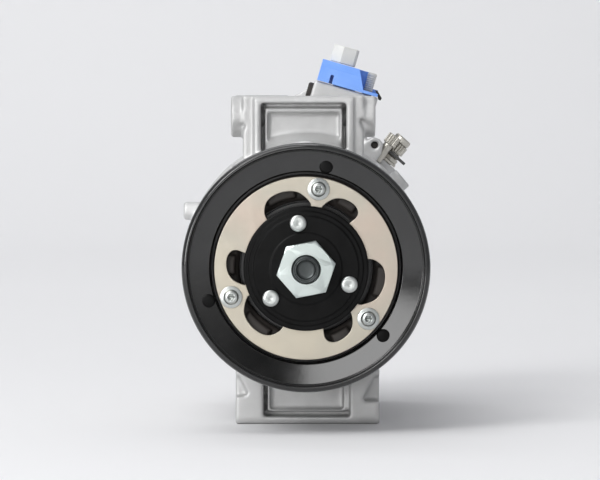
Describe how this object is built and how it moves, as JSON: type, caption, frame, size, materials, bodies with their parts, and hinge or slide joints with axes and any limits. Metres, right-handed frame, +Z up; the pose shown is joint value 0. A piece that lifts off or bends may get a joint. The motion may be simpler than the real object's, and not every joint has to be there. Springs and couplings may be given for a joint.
{
  "type": "automotive air-conditioning compressor",
  "caption": "Clutchless variable-displacement swash-plate refrigerant compressor with a grooved belt pulley, damper hub, side-bolt lugs and a capped port block.",
  "frame": {"origin": "centre of the drive shaft's front end face", "axes": "+Y along the shaft from the pulley to the rear, +X to the right seen from the pulley, +Z up, away from the base lugs"},
  "size_m": [0.1126, 0.206, 0.1754],
  "materials": {
    "cast_aluminium": "sand-textured casting",
    "pulley_black": "glossy black coat",
    "hub_black": "satin black coat",
    "zinc_plate": "warm zinc passivated sheet",
    "bright_steel": "bright zinc plating",
    "machined_steel": "ground",
    "dark_steel": "phosphated",
    "damper_rubber": "matte",
    "gasket_coat": "rubber-coated metal",
    "olive_fitting": "dull olive plating",
    "cap_blue": "moulded",
    "plug_grey": "moulded"
  },
  "bodies": {
    "housing": {"front_housing": "cast_aluminium", "front_gasket": "gasket_coat", "cylinder_block": "cast_aluminium", "suction_reed_plate": "machined_steel", "valve_plate": "machined_steel", "discharge_reed_plate": "machined_steel", "rear_gasket": "gasket_coat", "rear_housing": "cast_aluminium", "through_bolt_1": "dark_steel", "through_bolt_2": "dark_steel", "through_bolt_3": "dark_steel", "through_bolt_4": "dark_steel", "through_bolt_5": "dark_steel", "bearing_inner_ring": "machined_steel", "bearing_snap_ring": "dark_steel", "shaft_seal": "damper_rubber", "front_shaft_bearing": "machined_steel", "rear_shaft_bearing": "machined_steel", "control_valve_body": "olive_fitting", "relief_valve_body": "olive_fitting", "port_cap_stud": "plug_grey"},
    "rotor": {"pulley": "pulley_black", "bearing_outer_ring": "machined_steel", "damper_ring": "damper_rubber", "limiter_plate": "zinc_plate", "limiter_screw_1": "bright_steel", "limiter_screw_2": "bright_steel", "limiter_screw_3": "bright_steel", "drive_hub": "hub_black", "hub_rivet_1": "bright_steel", "hub_rivet_2": "bright_steel", "hub_rivet_3": "bright_steel", "hub_nut": "bright_steel", "drive_shaft": "machined_steel", "lug_plate": "dark_steel", "return_spring": "machined_steel"},
    "thrust_cage": {"thrust_bearing_cage": "olive_fitting"},
    "ball_cage": {"bearing_ball_cage": "olive_fitting"},
    "swash": {"swash_plate": "machined_steel", "hinge_pin": "bright_steel"},
    "control_spool": {"control_valve_spool": "bright_steel"},
    "relief_poppet": {"relief_valve_poppet": "bright_steel"},
    "transport_cap": {"port_cap": "cap_blue", "port_cap_plug": "plug_grey"},
    "piston_set_1": {"piston_1": "cast_aluminium"},
    "shoe_pair_1": {"shoe_front_1": "bright_steel", "shoe_rear_1": "bright_steel"},
    "piston_set_2": {"piston_2": "cast_aluminium"},
    "shoe_pair_2": {"shoe_front_2": "bright_steel", "shoe_rear_2": "bright_steel"},
    "piston_set_3": {"piston_3": "cast_aluminium"},
    "shoe_pair_3": {"shoe_front_3": "bright_steel", "shoe_rear_3": "bright_steel"},
    "piston_set_4": {"piston_4": "cast_aluminium"},
    "shoe_pair_4": {"shoe_front_4": "bright_steel", "shoe_rear_4": "bright_steel"},
    "piston_set_5": {"piston_5": "cast_aluminium"},
    "shoe_pair_5": {"shoe_front_5": "bright_steel", "shoe_rear_5": "bright_steel"}
  },
  "joints": [
    {"name": "thrust_cage_spin", "type": "hinge", "parent": "housing", "child": "thrust_cage", "pos_m": [0, 0.0598, 0], "axis": [0, -1, 0], "continuous": true},
    {"name": "shaft_spin", "type": "hinge", "parent": "housing", "child": "rotor", "pos_m": [0, 0, 0], "axis": [0, -1, 0], "continuous": true},
    {"name": "ball_cage_spin", "type": "hinge", "parent": "housing", "child": "ball_cage", "pos_m": [0, 0.0369, 0], "axis": [0, -1, 0], "continuous": true},
    {"name": "swash_tilt", "type": "hinge", "parent": "rotor", "child": "swash", "pos_m": [0, 0.103, 0.028], "axis": [-1, 0, 0], "range_deg": [0, 15]},
    {"name": "piston_1_stroke", "type": "slide", "parent": "housing", "child": "piston_set_1", "axis": [0, -1, 0], "range_m": [0, 0.00143]},
    {"name": "shoe_pair_1_swivel", "type": "hinge", "parent": "piston_set_1", "child": "shoe_pair_1", "pos_m": [0.01646, 0.103, 0.02265], "axis": [-1, 0, 0], "range_deg": [0, 15.01]},
    {"name": "piston_2_stroke", "type": "slide", "parent": "housing", "child": "piston_set_2", "axis": [0, -1, 0], "range_m": [0, 0.00143]},
    {"name": "shoe_pair_2_swivel", "type": "hinge", "parent": "piston_set_2", "child": "shoe_pair_2", "pos_m": [-0.01646, 0.103, 0.02265], "axis": [-1, 0, 0], "range_deg": [0, 15.01]},
    {"name": "piston_3_stroke", "type": "slide", "parent": "housing", "child": "piston_set_3", "axis": [0, -1, 0], "range_m": [0, 0.00983]},
    {"name": "shoe_pair_3_swivel", "type": "hinge", "parent": "piston_set_3", "child": "shoe_pair_3", "pos_m": [-0.02663, 0.103, -0.00865], "axis": [-1, 0, 0], "range_deg": [0, 15.01]},
    {"name": "piston_4_stroke", "type": "slide", "parent": "housing", "child": "piston_set_4", "axis": [0, -1, 0], "range_m": [0, 0.01501]},
    {"name": "shoe_pair_4_swivel", "type": "hinge", "parent": "piston_set_4", "child": "shoe_pair_4", "pos_m": [0, 0.103, -0.028], "axis": [-1, 0, 0], "range_deg": [0, 15.01]},
    {"name": "piston_5_stroke", "type": "slide", "parent": "housing", "child": "piston_set_5", "axis": [0, -1, 0], "range_m": [0, 0.00983]},
    {"name": "shoe_pair_5_swivel", "type": "hinge", "parent": "piston_set_5", "child": "shoe_pair_5", "pos_m": [0.02663, 0.103, -0.00865], "axis": [-1, 0, 0], "range_deg": [0, 15.01]},
    {"name": "control_spool_slide", "type": "slide", "parent": "housing", "child": "control_spool", "axis": [1, 0, 0], "range_m": [0, 0.0025], "stiffness_N_per_m": 400},
    {"name": "relief_poppet_slide", "type": "slide", "parent": "housing", "child": "relief_poppet", "axis": [-0.6115, 0, -0.7912], "range_m": [0, 0.0015], "stiffness_N_per_m": 2000},
    {"name": "transport_cap_pull", "type": "slide", "parent": "housing", "child": "transport_cap", "axis": [0.2756, 0, 0.9613], "range_m": [0, 0.03]}
  ],
  "couplings": [
    {"joint": "shaft_spin", "follows": "thrust_cage_spin", "ratio": 2},
    {"joint": "ball_cage_spin", "follows": "thrust_cage_spin", "ratio": 1.1283},
    {"joint": "piston_1_stroke", "follows": "swash_tilt", "m_per_rad": 0.0054731},
    {"joint": "shoe_pair_1_swivel", "follows": "swash_tilt", "ratio": 1},
    {"joint": "piston_2_stroke", "follows": "swash_tilt", "m_per_rad": 0.0054731},
    {"joint": "shoe_pair_2_swivel", "follows": "swash_tilt", "ratio": 1},
    {"joint": "piston_3_stroke", "follows": "swash_tilt", "m_per_rad": 0.037513},
    {"joint": "shoe_pair_3_swivel", "follows": "swash_tilt", "ratio": 1},
    {"joint": "piston_4_stroke", "follows": "swash_tilt", "m_per_rad": 0.057315},
    {"joint": "shoe_pair_4_swivel", "follows": "swash_tilt", "ratio": 1},
    {"joint": "piston_5_stroke", "follows": "swash_tilt", "m_per_rad": 0.037513},
    {"joint": "shoe_pair_5_swivel", "follows": "swash_tilt", "ratio": 1}
  ]
}
